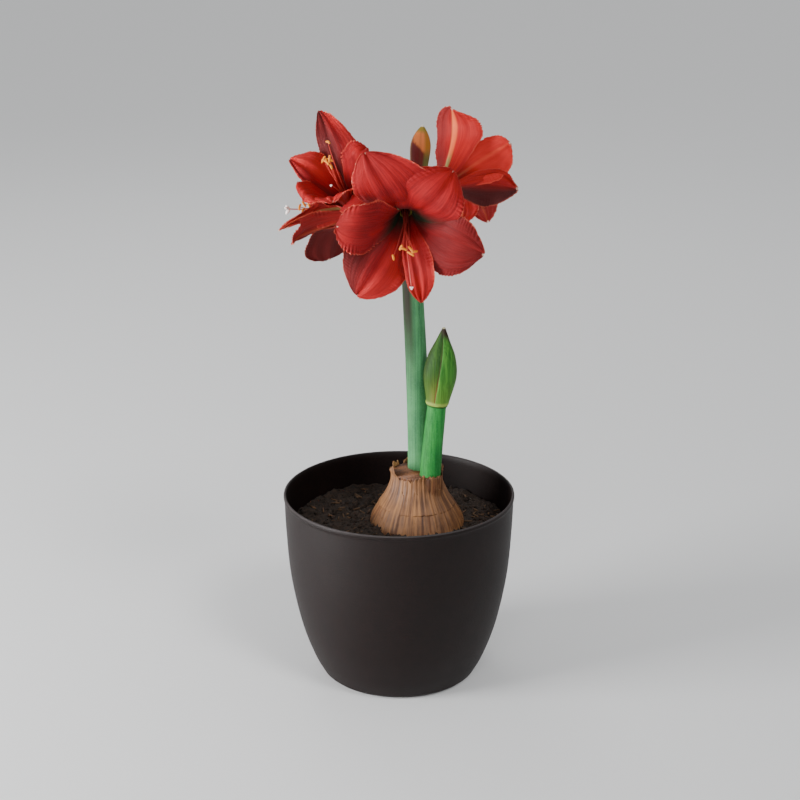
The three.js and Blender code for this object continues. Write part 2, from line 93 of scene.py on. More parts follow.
for light_name, kind, place, aim_height, strength, width in (
    ("light_key", "SUN", (0.9, -1.2, 1.9), 0.35, 1.1, math.radians(18)),
    ("light_front", "AREA", (-0.4, -2.4, 1.1), 0.42, 14, 1.0),
    ("light_low_left", "AREA", (-1.9, -0.7, 0.45), 0.06, 82, 0.9),
    ("light_back", "AREA", (-0.5, 1.6, 1.8), 0.35, 7, 1.0),
):
    light = bpy.data.lights.new(light_name, kind)
    light.energy = strength
    if kind == "SUN":
        light.angle = width
    else:
        light.size = width
    lamp = bpy.data.objects.new(light_name, light)
    lamp.location = place
    lamp.rotation_mode = "QUATERNION"
    lamp.rotation_quaternion = (Vector(place) - Vector((0, 0, aim_height))).to_track_quat("Z", "Y")
    scene.collection.objects.link(lamp)

# ---- pot ----
# A thin, bowl-sided pot moulded in matt black plastic with a fine grain. Its rim is a narrow rounded bead,
# with a grey painted highlight along the top.

POT_SIDE = [(75.5, 4), (84.5, 22), (95.5, 55), (104.7, 103), (108.3, 150), (109.2, 178.5)]  # radius, height
POT_HEIGHT = 183
POT_RIM = 110
POT_FOOT = 67
POT_WALL = 2.4
POT_FLOOR = 3.5
POT_SIDES = 180


class Value:
    """A number, colour or vector that comes out of a shader node. Sums and products add Math nodes."""

    def __init__(self, paint, socket):
        self.paint = paint
        self.socket = socket

    def math(self, operation, left, right=0.0):
        """What a Math node makes of two numbers, or of one."""
        return self.paint.node("ShaderNodeMath", {"operation": operation}, {0: left, 1: right})

    def __add__(self, other):
        return self.math("ADD", self, other)

    __radd__ = __add__

    def __sub__(self, other):
        return self.math("SUBTRACT", self, other)

    def __rsub__(self, other):
        return self.math("SUBTRACT", other, self)

    def __mul__(self, other):
        return self.math("MULTIPLY", self, other)

    __rmul__ = __mul__

    def __abs__(self):
        return self.math("ABSOLUTE", self)

    def ramp(self, start, end):
        """0 at start and 1 at end, smooth between, whichever of the two is the greater."""
        low, high, at_low = (start, end, 0.0) if start < end else (end, start, 1.0)
        sockets = {0: self, 1: low, 2: high, 3: at_low, 4: 1.0 - at_low}
        return self.paint.node("ShaderNodeMapRange", {"interpolation_type": "SMOOTHSTEP"}, sockets)


class Paint:
    """A material on a Principled shader. Sockets that are the same all over are set when it is made."""

    def __init__(self, name, constants):
        self.material = bpy.data.materials.new(name)
        self.material.use_nodes = True
        self.tree = self.material.node_tree
        self.shader = self.tree.nodes["Principled BSDF"]
        for socket, value in constants.items():
            self.shader.inputs[socket].default_value = value

    def node(self, kind, settings, sockets, output=0):
        """Adds a node, sets it, then gives its sockets their values or links."""
        made = self.tree.nodes.new(kind)
        for key, value in settings.items():
            setattr(made, key, value)
        for key, value in sockets.items():
            if isinstance(value, Value):
                self.tree.links.new(value.socket, made.inputs[key])
            else:
                made.inputs[key].default_value = value
        return Value(self, made.outputs[output])

    def mix(self, share, under, over):
        """The colour under, with over laid on it by share. Each is a Value or a screen colour."""
        under, over = (c if isinstance(c, Value) else srgb(*c) for c in (under, over))
        return self.node("ShaderNodeMix", {"data_type": "RGBA"}, {0: share, 6: under, 7: over}, 2)

    def layered(self, colour, *coats):
        """A colour with coats laid over it in turn. Each is a share and the colour to lay on by it."""
        for share, over in coats:
            colour = self.mix(share, colour, over)
        return colour

    def coat(self, colour, *coats):
        """Gives the shader its colour, in layers."""
        self.feed("Base Color", self.layered(colour, *coats))

    def place(self, stretch=(1, 1, 1)):
        """The place on the plant or pot in metres, times stretch."""
        where = self.node("ShaderNodeTexCoord", {}, {}, 3)
        return self.node("ShaderNodeVectorMath", {"operation": "MULTIPLY"}, {0: where, 1: stretch})

    def mottle(self, scale, detail=3.0, roughness=0.55, where=None):
        """Cloudy noise from 0 to 1 in blotches 1 / scale wide, in metres or in the units of where."""
        where = where or self.place()
        sockets = {"Vector": where, "Scale": scale, "Detail": detail, "Roughness": roughness}
        return self.node("ShaderNodeTexNoise", {}, sockets)

    def fibres(self, across, along):
        """Noise from 0 to 1 in upright streaks, so many to a metre across and along."""
        return self.mottle(1.0, 4.0, 0.6, self.place((across, across, along)))

    def stored(self, name):
        """The three numbers that the points of a mesh hold under a name."""
        vector = self.node("ShaderNodeAttribute", {"attribute_name": name}, {}, 1)
        return [self.node("ShaderNodeSeparateXYZ", {}, {0: vector}, part) for part in range(3)]

    def feed(self, socket, value):
        """Lets a value set one of the shader's own sockets."""
        self.tree.links.new(value.socket, self.shader.inputs[socket])

    def relief(self, height, depth):
        """Bump of a height from 0 to 1 that stands for a depth in millimetres."""
        self.feed("Normal", self.node("ShaderNodeBump", {}, {"Distance": depth / 1000, "Height": height}))


def srgb(red, green, blue):
    """A screen colour, 0 to 255, as the linear colour that shaders take."""
    return (*(((c / 255 + 0.055) / 1.055) ** 2.4 if c > 10 else c / 3295 for c in (red, green, blue)), 1)


def smooth_line(points, count):
    """Points along a smooth curve through the given ones, count to each stretch, the last one included."""
    points = np.asarray(points, float)
    padded = np.vstack([points[:1], points, points[-1:]])
    line = []
    for k in range(len(points) - 1):
        before, start, end, after = padded[k : k + 4]
        for t in np.arange(count) / count:
            line.append(
                (2 * t**3 - 3 * t**2 + 1) * start
                + (t**3 - 2 * t**2 + t) * (end - before) / 2
                + (3 * t**2 - 2 * t**3) * end
                + (t**3 - t**2) * (after - start) / 2
            )
    return np.array([*line, points[-1]])


def all_round(sides):
    """So many directions all round, in radians."""
    return np.arange(sides) / sides * 2 * math.pi


def turned(profile, sides):
    """Rings of a body of revolution about +Z, from a profile of radius and height."""
    profile = np.asarray(profile, float)
    angle = all_round(sides)
    x = profile[:, :1] * np.sin(angle)
    y = -profile[:, :1] * np.cos(angle)
    z = np.repeat(profile[:, 1:], sides, axis=1)
    return np.stack([x, y, z], axis=-1)


class Piece:
    """The points and faces of a piece while it is put together out of rings of points."""

    def __init__(self):
        self.points = []
        self.marks = []
        self.faces = []
        self.paints = []
        self.count = 0

    def add(self, points, faces, paint=0, marks=(0,)):
        """Adds faces over points. marks holds up to nine numbers for each point, or for all of them."""
        points = np.reshape(points, (-1, 3))
        marks = np.asarray(marks, float)
        self.points.append(points)
        self.marks.append(np.zeros((len(points), 9)))
        self.marks[-1][:, : marks.shape[-1]] = marks.reshape(-1, marks.shape[-1])
        self.faces += [[self.count + corner for corner in face] for face in faces]
        self.paints += [paint] * len(faces)
        self.count += len(points)

    def add_rings(self, rings, paint=0, marks=(0,), ends="flat"):
        """Adds quads between rings. Their ends are closed flat, across as on a blade, or joined."""
        count, sides = len(rings), rings.shape[1]
        hoop = ends == "hoop"
        faces = []
        for i in range(count if hoop else count - 1):
            here, after = i * sides, (i + 1) % count * sides
            for j in range(sides):
                k = (j + 1) % sides
                faces.append((here + j, here + k, after + k, after + j))
        last = (count - 1) * sides
        if ends == "flat":
            faces.append(tuple(reversed(range(sides))))
            faces.append(tuple(range(last, last + sides)))
        if ends == "across":
            for j in range(sides // 2 - 1):
                k = sides - 1 - j
                faces.append((j, k, k - 1, j + 1))
                faces.append((last + j, last + j + 1, last + k - 1, last + k))
        self.add(rings, faces, paint, marks)

    def make(self, name, paints, node):
        """The smooth-shaded piece in metres, riding with the plant, which stands for its plain solid."""
        mesh = bpy.data.meshes.new(name)
        mesh.from_pydata((np.vstack(self.points) / 1000).tolist(), [], self.faces)
        for paint in paints:
            mesh.materials.append(paint.material)
        mesh.polygons.foreach_set("material_index", np.array(self.paints, np.int32))
        mesh.polygons.foreach_set("use_smooth", np.ones(len(mesh.polygons), bool))
        marks = np.vstack(self.marks).astype(np.float32)
        for k, attribute in enumerate(("blade", "edge", "tint_and_shade")):
            stored = mesh.attributes.new(attribute, "FLOAT_VECTOR", "POINT")
            stored.data.foreach_set("vector", marks[:, 3 * k : 3 * k + 3].ravel())
        mesh.update()
        made = bpy.data.objects.new(name, mesh)
        scene.collection.objects.link(made)
        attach(made, "root")
        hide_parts(node)


pot_outside = smooth_line(POT_SIDE, 8)
pot_profile = [
    (0.1, 0.6), (POT_FOOT - 4, 0.6), (POT_FOOT - 2.6, 0), (POT_FOOT, 0),
    (POT_FOOT + 3, 0.4), (POT_FOOT + 6, 1.8),
    *pot_outside,
    (POT_RIM - 0.5, POT_HEIGHT - 4), (POT_RIM - 0.1, POT_HEIGHT - 3.6), (POT_RIM, POT_HEIGHT - 3),
    (POT_RIM, POT_HEIGHT - 1.2), (POT_RIM - 0.25, POT_HEIGHT - 0.5), (POT_RIM - 0.8, POT_HEIGHT - 0.08),
    (POT_RIM - 1.4, POT_HEIGHT), (POT_RIM - 2, POT_HEIGHT - 0.12), (POT_RIM - 2.4, POT_HEIGHT - 0.6),
    (POT_RIM - 2.8, POT_HEIGHT - 2),
    *(pot_outside - (POT_WALL, 0))[::-1],
    (POT_FOOT + 2, POT_FLOOR), (0.1, POT_FLOOR),
]

black_plastic = Paint("black_plastic", {"Specular IOR Level": 0.24})
bead_highlight, _, _ = black_plastic.stored("blade")
pot_grain = black_plastic.mottle(650.0, 2.0)
pot_cloud = black_plastic.mottle(90.0)
pot_tone = (pot_grain * 0.7 + pot_cloud * 0.3).ramp(0.35, 0.65)
# The grey along the top of the bead is a painted highlight.
black_plastic.coat((11, 2, 1), (pot_tone, (20, 6, 4)), (bead_highlight * 0.5, (84, 78, 78)))
black_plastic.feed("Roughness", 0.48 + pot_grain * 0.14)
black_plastic.relief(pot_grain, 0.16)

pot = Piece()
pot_rings = turned(pot_profile, POT_SIDES)
# The top of the bead, which gets the painted highlight.
bead_top_highlight = (pot_rings[..., 2] > POT_HEIGHT - 0.6).astype(float)
pot.add_rings(pot_rings, marks=bead_top_highlight[..., None])
pot.make("pot_moulding", [black_plastic], "pot")

# ---- soil ----
# Dark peat potting soil that fills the pot to below its rim. It is loose and lumpy, with crumbs and short
# bits of root and bark on top, and it rises a little round the bulb.

SOIL_TOP = 150
SOIL_MOUND = 6
SOIL_SPREAD = 105.2
SOIL_SIDES = 260
CRUMBS = 1500
CRUMBS_CLEAR = 38  # how near the bulb's axis they lie
CHIPS = 150
CHIPS_CLEAR = 42
PEAT, BARK = 0, 1  # which of the soil's two materials
BULB_X = 17


def crumble(x, y, z, size):
    """Cloudy noise about 0 at points in millimetres, with lumps of about the given size."""
    points = np.stack(np.broadcast_arrays(x, y, z), axis=-1)
    cloud = [noise.fractal(Vector(p), 0.8, 2.1, 4) for p in points.reshape(-1, 3) / size]
    return np.array(cloud).reshape(points.shape[:-1])


def soil_height(x, y):
    """The level of the soil before its lumps: low swells, and a ring pushed up beside the bulb."""
    spread = np.hypot(x, y) / SOIL_SPREAD
    swell = np.sin(x * 0.21 + 1.3) * np.cos(y * 0.17) + np.sin(x * 0.09 - y * 0.13)
    beside_bulb = np.exp(-(((np.hypot(x - BULB_X, y) - 44) / 14) ** 2))
    return SOIL_TOP + SOIL_MOUND * (1 - spread) ** 2 + 1.4 * swell + 2.5 * beside_bulb


def on_the_soil(rng, clear):
    """A random spot on the soil, at least clear millimetres from the bulb's axis."""
    while True:
        away, turn = SOIL_SPREAD * 0.97 * math.sqrt(rng.uniform(0.02, 1)), rng.uniform(0, 2 * math.pi)
        x, y = away * math.sin(turn), -away * math.cos(turn)
        if math.hypot(x - BULB_X, y) > clear:
            return np.array([x, y, float(soil_height(x, y))])


soil = Piece()
soil_walls = turned([(66, POT_FLOOR + 0.4), (90, 45), (101.5, 105), (SOIL_SPREAD, 140)], SOIL_SIDES)
soil_top = turned([(SOIL_SPREAD * share, SOIL_TOP) for share in np.linspace(1, 0.004, 96)], SOIL_SIDES)
x, y, _ = np.moveaxis(soil_top, -1, 0)
soil_top[..., 2] = soil_height(x, y) + 2.2 * crumble(x, y, 0.0, 9.0) + 1.1 * crumble(x, y, 40.0, 3.2)
soil.add_rings(np.vstack([soil_walls, soil_top]), PEAT)

rng = np.random.default_rng(7)
crumb = np.array([(1, 0, 0), (-1, 0, 0), (0, 1, 0), (0, -1, 0), (0, 0, 1), (0, 0, -1)])
crumb_faces = [(0, 2, 4), (2, 1, 4), (1, 3, 4), (3, 0, 4), (2, 0, 5), (1, 2, 5), (3, 1, 5), (0, 3, 5)]
for _ in range(CRUMBS):
    size = rng.uniform(0.5, 1.3) + (rng.random() < 0.12) * rng.uniform(0.8, 2.2)
    spin = rng.uniform(0, 2 * math.pi)
    turn = np.array([[math.cos(spin), -math.sin(spin), 0], [math.sin(spin), math.cos(spin), 0], [0, 0, 1]])
    lump = crumb * rng.uniform(0.6, 1.3, (6, 3)) * size
    soil.add(lump @ turn + on_the_soil(rng, CRUMBS_CLEAR) + (0, 0, size * 0.5), crumb_faces, PEAT)
chip_faces = [(3, 2, 1, 0), (4, 5, 6, 7), (0, 1, 5, 4), (1, 2, 6, 5), (2, 3, 7, 6), (3, 0, 4, 7)]
for _ in range(CHIPS):
    length, thick, heading = rng.uniform(3, 9), rng.uniform(0.3, 0.9), rng.uniform(0, math.pi)
    along = np.array([math.cos(heading), math.sin(heading), rng.uniform(-0.15, 0.25)]) * length / 2
    side = np.array([-math.sin(heading), math.cos(heading), 0]) * thick
    up = np.array([0, 0, thick * 0.7])
    middle = on_the_soil(rng, CHIPS_CLEAR) + (0, 0, 1.4)
    soil.add([middle + a * along + b * side + c * up for a in (-1, 1) for b, c in SQUARE], chip_faces, BARK)

peat = Paint("peat", {"Roughness": 0.95})
peat_lumps = peat.mottle(260.0, 5.0, 0.7)
peat_crumbs = peat.mottle(1100.0, 3.0, 0.6)
peat_height = peat_lumps * 0.5 + peat_crumbs * 0.5
peat.coat((20, 14, 11), (peat_height.ramp(0.36, 0.66), (62, 45, 33)))
peat.relief(peat_height, 1.2)

bark = Paint("bark_bits", {"Roughness": 0.9})
bark_tone = bark.mottle(120.0)
bark.coat((48, 33, 22), (bark_tone, (110, 80, 52)))

soil.make("soil_bed", [peat, bark], "soil")

# ---- bulb ----
# An onion-shaped bulb, half out of the soil, in dry brown papery skins that split and flake. Its broad
# neck closes round both stems.

BULB_SIDE = [  # radius, height
    (16, 85), (24, 90), (37, 104), (44, 122), (46, 139), (44, 155),
    (37.5, 169), (29.5, 181), (24.6, 192), (23.2, 202), (24.2, 206),
]
MAIN_ROUTE = [(19.2, 9, 190), (19, 8.6, 230), (16.2, 8.3, 310), (12.9, 8, 375), (10.5, 8, 430)]
MAIN_RADII = (10.9, 9)
SECOND_ROUTE = [(28.5, -11.4, 190), (31.4, -10.4, 230), (35.3, -9, 272.5)]
SECOND_RADII = (10, 8.6)
NECK_START = 176
NECK_HEIGHT = 200
NECK_SPARE = 1.6  # how far the skins stand off the stems
SKIN_SIDES = 200
SKIN_THICK = 0.45
TORN_ROWS = 34
WHOLE, TORN = 0, 1  # which of the bulb's two materials: the skin all round, or the torn ones over it


def neck_reach(angle):
    """How far from the bulb's axis a skin has to lie in each direction to pass round both stems."""
    reach = np.zeros_like(angle)
    for route, radius in ((MAIN_ROUTE, MAIN_RADII[0]), (SECOND_ROUTE, SECOND_RADII[0])):
        foot, beyond = np.array(route[:2], float)
        centre = foot + (beyond - foot) * (NECK_HEIGHT - foot[2]) / (beyond[2] - foot[2]) - (BULB_X, 0, 0)
        toward = centre[0] * np.sin(angle) - centre[1] * np.cos(angle)
        beside = centre[0] * np.cos(angle) + centre[1] * np.sin(angle)
        chord = np.maximum((radius + NECK_SPARE) ** 2 - beside**2, 0)
        reach = np.maximum(reach, np.where(chord > 0, toward + np.sqrt(chord), 0))
    return reach


def bulb_skin(low, high, offset, rows, seed, ragged):
    """Rings of one papery skin from a low to a high height. ragged is how deep its top edge is torn.

    Their marks are the place across and along the veins, which all run up to the neck.
    """
    line = smooth_line(BULB_SIDE, 16)
    angle = all_round(SKIN_SIDES)
    right, front = np.sin(angle), np.cos(angle)
    torn = high - ragged * (0.5 + crumble(right * 20, front * 20, seed * 31.0, 7.0))
    rings = []
    veins = []
    for share in np.linspace(0, 1, rows):
        z = low + (torn - low) * share
        r = np.interp(z, line[:, 1], line[:, 0]) + offset
        r = r + np.clip((z - NECK_START) / 16, 0, 1) * np.maximum(neck_reach(angle) - r, 0)
        ribs = 0.28 * np.sin(angle * 41 + 3 * np.sin(angle * 3 + seed)) + 0.2 * np.sin(angle * 67 + seed)
        r = r + ribs * np.clip((z - 80) / 30, 0, 1)
        r = r + 0.8 * crumble(right * 30, front * 30, z / 4 + seed * 50, 14.0)
        rings.append(np.stack([BULB_X + r * right, -r * front, z], axis=-1))
        veins.append(np.stack([14 * right, -14 * front, z / 40], axis=-1))
    return np.array(rings), np.array(veins)


bulb = Piece()
rings, marks = bulb_skin(low=85, high=205, offset=0, rows=80, seed=1, ragged=1.5)
bulb.add_rings(rings, WHOLE, marks)
for low, high, offset, seed, ragged in (
    (120, 168, 0.9, 2, 16), (150, 193, 0.8, 3, 12), (172, 210, 1.0, 4, 9),
):
    rings, marks = bulb_skin(low, high, offset, TORN_ROWS, seed, ragged)
    inner_rings, _ = bulb_skin(low, high, offset - SKIN_THICK, TORN_ROWS, seed, ragged)
    closed = np.concatenate([rings, inner_rings[::-1]])
    bulb.add_rings(closed, TORN, np.concatenate([marks, marks[::-1]]), "hoop")

papers = []
for skin_name, dark, light in (
    ("bulb_skin", (62, 34, 18), (138, 86, 48)),
    ("bulb_paper", (80, 46, 24), (164, 114, 70)),
):
    paper = Paint(skin_name, {})
    east, north, height = paper.stored("blade")
    lanes = paper.node("ShaderNodeCombineXYZ", {}, {0: east, 1: north, 2: height})
    streaks = paper.mottle(1.0, 4.0, 0.6, lanes)
    blotches = paper.mottle(45.0)
    paper.coat(dark, ((streaks * 0.65 + blotches * 0.35).ramp(0.34, 0.68), light))
    paper.feed("Roughness", 0.45 + streaks * 0.3)
    paper.relief(streaks, 0.5)
    papers.append(paper)

bulb.make("bulb_skins", papers, "bulb")

# ---- blooms ----
# Four trumpet blooms. Each has six tepals in two whorls, soft and velvety, joined at their claws in a short
# tube. They are thin, with fine long veins, a crease down the middle and crimped edges.

TUBE_OUTER = 5.9
TUBE_INNER = 3.7
TUBE_LENGTH = 7
TUBE_SIDES = 48
# How far from the axis each whorl leaves the tube, and where its throat starts to open: along, away.
WHORLS = {"inner": (4.25, (30, 8)), "outer": (5.35, (28, 11))}
HALF_THICK = 0.36
CLAW = 3.2  # half the width of a tepal where it leaves the tube
CLASP = 0.95  # the most that half its width can be, as a share of its distance from the axis
BLADE_LENGTH = 110  # about how long a tepal is along its back


@dataclass
class Tepal:
    at: float  # degrees round the bloom, from its right, counter-clockwise as one looks into the mouth
    tip: tuple  # how far the tip lies along the bloom's axis, and how far out from it
    bend: tuple  # the same for the point that its back arches towards
    half: float  # half the greatest width
    cup: float = 0  # curve across the blade, 1/mm: above 0 it is hollow, below 0 its edges roll back
    sway: float = 0  # degrees that the tip leans sideways round the bloom
    taper: float = 2.4  # low is a long point, high is a round end
    skew: float = 0  # share by which the counter-clockwise half is wider and the other narrower
    twist: float = 0  # degrees that the blade turns about its own length
    widest: float = 0.62  # where the blade is widest, as a share of its length
    frill: float = 0.8  # depth of the crimps along its edges
    dark: float = 0.2  # how far along the dark throat reaches, its own dark colour and painted shade
    lean: float = 0  # how much further it reaches at the counter-clockwise edge
    deep: float = 0  # painted shade: how far its red goes towards maroon at its end, or below 0 painted light towards coral
    shade: float = 0  # how much more painted shade on one half, the counter-clockwise one if above 0
    fold: float = -0.15  # where across it that begins, from -1 on the other edge to 1 on its own
    rib: float = 0.3  # how bold and pale the midrib is on its back
    green: float = 0.2  # how far along its back stays green, and half of how far its midrib does
    pleat: float = 0.35  # depth of its long folds


@dataclass
class Bloom:
    name: str
    base: tuple  # the bottom of the tube
    turn: float  # the way the mouth faces, in degrees from -Y towards +X
    lift: float  # degrees above the horizon
    inner: list
    outer: list
    grid: tuple = (100, 50)  # rows along and columns across each tepal


FRONT = Bloom("front", (6, -40, 467), -2, -13, grid=(120, 66), inner=[
    Tepal(52, (48, 73), (84, 44), 33, -0.006, 3, 2.4, 0.2, frill=1.4, dark=0.31, lean=-0.14),
    Tepal(164, (60, 59), (80, 32), 25, 0.004, 4, 4.2, -0.12, frill=2.2, dark=0.26, lean=0.12, deep=0.22),
    Tepal(289, (56, 65), (72, 30), 13.3, -0.004, -6, 2.6, 0.28, dark=0.06, deep=-0.12, pleat=0.6),
], outer=[
    Tepal(101, (52, 84), (80, 44), 33, -0.006, 12, 2.6, -0.15, frill=0.7, deep=0.08, rib=0.1),
    Tepal(234, (56, 71), (70, 34), 30.5, -0.012, skew=-0.1, frill=0.6, deep=-0.2, shade=-0.95),
    Tepal(340, (56, 71), (72, 34), 30.5, -0.002, 7, 2.2, 0.15, lean=0.38, deep=0.58, pleat=0.9),
])
UPPER_LEFT = Bloom("upper_left", (-40, 2, 456), -28, 42, inner=[
    Tepal(47, (55, 41), (76, 26), 18, 0.006, 8, frill=1.2, dark=0.08),
    Tepal(166, (56, 49), (76, 26), 19, -0.02, -2, 1.2, -0.2, widest=0.5, dark=0.08, deep=-0.32, shade=0.6),
    Tepal(292, (60, 30), (73, 19), 19, 0.004, 6, 2, 0.1, dark=0.08, deep=-0.18, rib=0, pleat=0.6),
], outer=[
    Tepal(
        106, (57, 76), (74, 30), 20, -0.03, 14, 1.6, -0.25, widest=0.5,
        dark=0.1, deep=-0.2, shade=1, fold=-0.7,
    ),
    Tepal(232, (56, 32), (76, 22), 18, 0.01, 4, dark=0.05, deep=-0.15),
    Tepal(345, (52, 50), (74, 28), 24, frill=1.2),
])
LOWER_LEFT = Bloom("lower_left", (-20, 28, 453), -92, -4, inner=[
    Tepal(22, (90, 29), (70, 23), 15, 0.05, -44, 0.28, -0.2, widest=0.55, deep=0.3, rib=0.6, green=0.3),
    Tepal(120, (64, 25), (62, 20), 20, 0.012),
    Tepal(248, (50, 53), (50, 26), 26, 0, 6, 7, twist=62, deep=0.85, rib=0),
], outer=[
    Tepal(312, (79, 33), (80, 20), 18, 0.03, -4, 0.3, 0.3, widest=0.7, deep=0.5),
    Tepal(205, (66, 34), (62, 24), 22, 0.006, deep=0.3),
    Tepal(80, (64, 12), (58, 17), 16, 0.03, 0, 1.4, 0.3, rib=0.9, green=0.35),
])
RIGHT = Bloom("right", (38, 30, 470), 158, 7, inner=[
    Tepal(345, (56, 26), (72, 22), 14, 0.02),
    Tepal(150, (48, 62), (74, 32), 20, -0.004, -2, skew=0.2, dark=0.45, deep=-0.65, rib=0.4),
    Tepal(244, (50, 56), (76, 26), 19, 0, -4, skew=-0.1, deep=0.5),
], outer=[
    Tepal(79, (48, 62), (76, 32), 30, 0.012, 7, 2.4, 0.06, -20, deep=-0.2, shade=-0.75, rib=1, pleat=0.5),
    Tepal(
        196, (48, 60), (70, 34), 20, -0.006, -5, 1.6, 0.25,
        deep=0.05, shade=0.95, fold=-0.2, rib=0, pleat=0.8,
    ),
    Tepal(270, (50, 54), (72, 28), 18),
])
BLOOMS = [FRONT, UPPER_LEFT, LOWER_LEFT, RIGHT]


def step(value, low, high):
    """0 below low, 1 above high, and smooth between."""
    share = np.clip((value - low) / (high - low), 0, 1)
    return share * share * (3 - 2 * share)


def bloom_axes(bloom):
    """The bloom's base, and its right, up and out directions."""
    turn, lift = math.radians(bloom.turn), math.radians(bloom.lift)
    level = math.cos(lift)
    out = np.array([math.sin(turn) * level, -math.cos(turn) * level, math.sin(lift)])
    up = np.array([0, 0, 1]) - out * out[2]
    up = up / np.linalg.norm(up)
    return np.array(bloom.base, float), np.cross(up, out), up, out


def bezier(corners, t):
    """Points and directions on a curve of three or four corners, one for each t."""
    corners = [np.asarray(corner, float) for corner in corners]
    t = t[..., None]
    slopes = [after - before for before, after in zip(corners, corners[1:])]
    while len(corners) > 1:
        corners = [before + (after - before) * t for before, after in zip(corners, corners[1:])]
    while len(slopes) > 1:
        slopes = [before + (after - before) * t for before, after in zip(slopes, slopes[1:])]
    return corners[0], slopes[0] / np.linalg.norm(slopes[0], axis=-1, keepdims=True)


def along_edges(t, s, waves, seed):
    """Noise about 0 that runs along both edges of a blade, with so many waves to its length."""
    edges = []
    for side in (0.5, 7.5):
        row = np.array([noise.noise(Vector((share * waves, side, seed * 3.7))) for share in t[:, 0]])
        edges.append(row[:, None])
    return np.where(s > 0, edges[0], edges[1])


def tepal_surface(axes, whorl, tepal, t, s):
    """The middle surface of a tepal, t along it and s across it from -1 to 1, and its half width there."""
    base, right, up, out = axes
    root, throat = WHORLS[whorl]
    seed = tepal.at / 10

    # The route of its midrib, and the directions across the blade and into the bloom.
    middle, slope = bezier([(0, root), throat, tepal.bend, tepal.tip], t)
    axial, radial = middle[..., 0], middle[..., 1]
    angle = np.radians(tepal.at + tepal.sway * t * t)[..., None]
    away = right * np.cos(angle) + up * np.sin(angle)
    level = up * np.cos(angle) - right * np.sin(angle)
    hollow = out * slope[..., 1:] - away * slope[..., :1]
    turn = math.radians(tepal.twist) * step(t, 0.2, 0.7)[..., None]
    sideways = level * np.cos(turn) + hollow * np.sin(turn)
    inwards = hollow * np.cos(turn) - level * np.sin(turn)

    # Its outline, with small nicks.
    opening = np.minimum(CLAW + (tepal.half - CLAW) * step(t, 0, tepal.widest), CLASP * radial)
    beyond = np.clip((t - tepal.widest) / (1 - tepal.widest), 0, 1)
    width = np.where(t < tepal.widest, opening, tepal.half * (1 - beyond**tepal.taper) ** 0.75)
    nicks = along_edges(t, s, 60, seed) * 0.5 + along_edges(t, s, 22, seed)
    across = s * (1 + tepal.skew * s) * width * (1 + 0.04 * nicks * np.abs(s) ** 6)

    # Its curve across, and the waves, crease, crimps and folds on that.
    blade = step(t, 0.3, 0.6)
    curve = 1 / radial + (tepal.cup - 1 / radial) * step(t, 0.15, 0.55) + 1e-6
    wave = 1.6 * np.abs(s) ** 2.5 * step(t, 0.3, 0.7) * np.sin(t * 17 + tepal.at + np.where(s > 0, 2, 0))
    crease = 1.1 * np.maximum(0, 1 - np.abs(s) * 4) * step(t, 0.1, 0.4)
    beat = t * 190 + 9 * along_edges(t, s, 5, seed + 5)
    crimps = np.sin(beat) * (0.65 + 1.1 * along_edges(t, s, 9, seed + 9))
    frill = tepal.frill * np.abs(s) ** 6 * blade * crimps
    cells = np.stack([s * 3.2, t * 2.2, np.full_like(t, seed * 1.9)], axis=-1)
    dents = np.array([noise.noise(Vector(cell)) for cell in cells.reshape(-1, 3)]).reshape(t.shape)
    folds = blade * (1.3 * dents + tepal.pleat * np.sin(s * 11 + seed + 2 * dents) * (1 - 0.4 * np.abs(s)))
    ribs = 0.1 * blade * np.cos(s * 43 + 3 * dents)
    rise = (1 - np.cos(curve * across)) / curve + wave - crease + frill + folds + ribs
    surface = base + out * axial[..., None] + away * radial[..., None]
    return surface + sideways * (np.sin(curve * across) / curve)[..., None] + inwards * rise[..., None], width


def tepal_blade(axes, whorl, tepal, grid):
    """Rings round a closed blade, and its marks.

    The marks are how far along and across, 1 on the outer face, millimetres to the edge and to the tip, how
    far past the dark throat and its painted shade, how much painted shade (below 0 painted light) it has, and
    how ribbed and green the tepal is there.
    """
    rows, columns = grid
    share = 0.993 * np.linspace(0, 1, rows + 1) ** 0.8
    s, t = np.meshgrid(np.sin(np.linspace(-math.pi / 2, math.pi / 2, columns + 1)), share)
    middle, width = tepal_surface(axes, whorl, tepal, t, s)
    normal = np.cross(np.gradient(middle, axis=1), np.gradient(middle, axis=0))
    normal /= np.maximum(np.linalg.norm(normal, axis=-1, keepdims=True), 1e-9)
    half = HALF_THICK * (1 - 0.55 * np.abs(s) ** 4)
    keel = (0.3 + 0.9 * tepal.rib) * np.exp(-((s * 8) ** 2)) * (1 - t)
    outer = middle + normal * (half + keel)[..., None]
    inner = middle - normal * half[..., None]
    to_tip = np.linalg.norm(middle - middle[-1:, columns // 2 : columns // 2 + 1], axis=-1)
    to_edge = np.minimum((1 - np.abs(s)) * width, (1 - t) * BLADE_LENGTH)
    # How far past the dark throat, which is its own dark colour and painted shade.
    past_throat_shade = t - tepal.dark - tepal.lean * s
    # Painted shade towards maroon, or below 0 painted light towards coral, and more painted shade on one
    # half.
    towards_shade = step(s * np.sign(tepal.shade), tepal.fold, tepal.fold + 0.75)
    painted_shade_and_light = tepal.deep * step(t, 0.1, 0.6) + abs(tepal.shade) * towards_shade
    marks = (t, s, 1, to_edge, to_tip, past_throat_shade, painted_shade_and_light, tepal.rib, tepal.green)
    marks = np.stack(np.broadcast_arrays(*marks), axis=-1)
    inner_marks = marks[:, ::-1] * (1, 1, 0, 1, 1, 1, 1, 1, 1)
    rings = np.concatenate([outer, inner[:, ::-1]], axis=1)
    return rings, np.concatenate([marks, inner_marks], axis=1)


def set_on_bloom(axes, points):
    """Points of right, up and out moved to the place and lean of a bloom."""
    base, right, up, out = axes
    return base + points[..., :1] * right + points[..., 1:2] * up + points[..., 2:] * out


